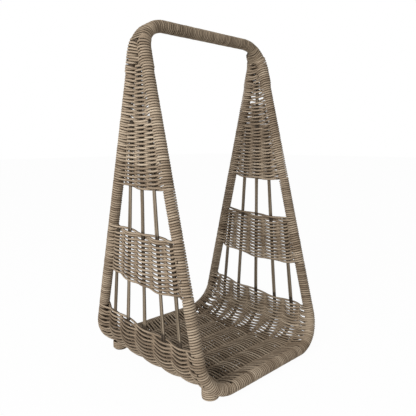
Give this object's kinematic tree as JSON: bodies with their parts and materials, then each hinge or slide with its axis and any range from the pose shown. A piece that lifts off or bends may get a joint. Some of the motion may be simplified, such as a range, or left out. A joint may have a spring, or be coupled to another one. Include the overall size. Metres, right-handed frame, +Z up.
{
  "type": "log holder",
  "caption": "Tall wicker log holder: two cane-wrapped hoops meet in a carrying handle over a woven ribbon of sides and floor.",
  "frame": {"origin": "on the floor, in the middle of the object's footprint", "axes": "+Z up, +X to the object's right, +Y to its back; logs lie along Y"},
  "size_m": [0.4212, 0.425, 0.8],
  "materials": {
    "binding_cane": "weathered matt grey-brown cane",
    "dowel": "plain hardwood",
    "foot_peg": "rough turned wood",
    "pin": "plain steel",
    "pole": "bare rattan pole under the windings",
    "stake_cane": "weathered matt cane",
    "weaving_cane": "weathered matt grey-brown cane"
  },
  "bodies": {
    "root": {"base_stakes": "stake_cane", "floor_weave": "weaving_cane", "foot_bindings": "binding_cane", "front_floor_pole": "pole", "front_floor_wrap": "binding_cane", "front_left_corner_wrap": "binding_cane", "front_left_foot": "foot_peg", "front_left_lower_binding": "binding_cane", "front_left_middle_wrap": "binding_cane", "front_left_post": "pole", "front_left_upper_binding": "binding_cane", "front_left_upper_wrap": "binding_cane", "front_right_corner_wrap": "binding_cane", "front_right_foot": "foot_peg", "front_right_lower_binding": "binding_cane", "front_right_middle_wrap": "binding_cane", "front_right_post": "pole", "front_right_upper_binding": "binding_cane", "front_right_upper_wrap": "binding_cane", "handle_binding_left": "binding_cane", "handle_binding_middle": "binding_cane", "handle_binding_right": "binding_cane", "handle_pole": "pole", "left_centre_stake": "stake_cane", "left_front_inner_stake": "stake_cane", "left_front_outer_stake": "stake_cane", "left_lower_weave": "weaving_cane", "left_middle_weave": "weaving_cane", "left_rear_inner_stake": "stake_cane", "left_rear_outer_stake": "stake_cane", "left_top_lashing": "binding_cane", "left_upper_weave": "weaving_cane", "pole_dowels": "dowel", "rear_floor_pole": "pole", "rear_floor_wrap": "binding_cane", "rear_left_corner_wrap": "binding_cane", "rear_left_foot": "foot_peg", "rear_left_lower_binding": "binding_cane", "rear_left_middle_wrap": "binding_cane", "rear_left_post": "pole", "rear_left_upper_binding": "binding_cane", "rear_left_upper_wrap": "binding_cane", "rear_right_corner_wrap": "binding_cane", "rear_right_foot": "foot_peg", "rear_right_lower_binding": "binding_cane", "rear_right_middle_wrap": "binding_cane", "rear_right_post": "pole", "rear_right_upper_binding": "binding_cane", "rear_right_upper_wrap": "binding_cane", "right_centre_stake": "stake_cane", "right_front_inner_stake": "stake_cane", "right_front_outer_stake": "stake_cane", "right_lower_weave": "weaving_cane", "right_middle_weave": "weaving_cane", "right_rear_inner_stake": "stake_cane", "right_rear_outer_stake": "stake_cane", "right_top_lashing": "binding_cane", "right_upper_weave": "weaving_cane", "top_pins": "pin"}
  },
  "joints": []
}
